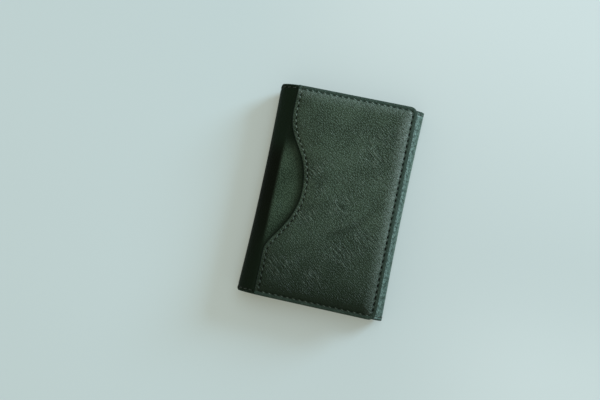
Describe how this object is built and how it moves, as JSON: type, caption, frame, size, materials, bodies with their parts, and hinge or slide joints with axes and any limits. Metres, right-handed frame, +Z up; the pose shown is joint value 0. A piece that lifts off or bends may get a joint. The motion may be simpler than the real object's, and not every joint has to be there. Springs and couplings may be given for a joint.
{
  "type": "trifold travel wallet",
  "caption": "Compact leather trifold travel wallet with a wave-edged outside pocket, a rounded spine, upright card slots inside and a short folding flap.",
  "frame": {"origin": "centre of the closed wallet's outline, on the face that lies on the table", "axes": "+X from the spine to the outer fold, +Y along the folds to the end where the card slots open, +Z up through the closed layers"},
  "size_m": [0.075, 0.108, 0.0181],
  "materials": {
    "outer_leather": "fine pebbled grain, semi-matte",
    "inner_leather": "smooth, semi-matte",
    "lining": "plain weave, matte"
  },
  "bodies": {
    "back": {"back_cover": "outer_leather", "back_lining": "lining", "back_panel": "inner_leather", "back_slot_1": "inner_leather", "back_slot_2": "inner_leather", "back_slot_3": "inner_leather"},
    "spine": {"spine_cover": "outer_leather", "spine_lining": "lining"},
    "front": {"front_cover": "outer_leather", "front_pocket": "outer_leather", "front_lining": "lining", "front_panel": "inner_leather", "front_slot_1": "inner_leather", "front_slot_2": "inner_leather", "front_slot_3": "inner_leather"},
    "fold": {"fold_cover": "outer_leather", "fold_lining": "lining"},
    "flap": {"flap_cover": "outer_leather", "flap_lining": "lining", "flap_pocket": "inner_leather"}
  },
  "joints": [
    {"name": "spine_fold", "type": "hinge", "parent": "back", "child": "spine", "pos_m": [-0.03587, 0, 0.00303], "axis": [0, -1, 0], "range_deg": [0, 90]},
    {"name": "front_fold", "type": "hinge", "parent": "spine", "child": "front", "pos_m": [-0.03366, 0, 0.01292], "axis": [0, -1, 0], "range_deg": [0, 90]},
    {"name": "outer_fold", "type": "hinge", "parent": "back", "child": "fold", "pos_m": [0.03618, 0, 0.0012], "axis": [0, 1, 0], "range_deg": [0, 90]},
    {"name": "flap_fold", "type": "hinge", "parent": "fold", "child": "flap", "pos_m": [0.03618, 0, 0.007], "axis": [0, 1, 0], "range_deg": [0, 90]}
  ],
  "couplings": [
    {"joint": "front_fold", "follows": "spine_fold", "ratio": 1},
    {"joint": "outer_fold", "follows": "spine_fold", "ratio": 1},
    {"joint": "flap_fold", "follows": "spine_fold", "ratio": 1}
  ]
}
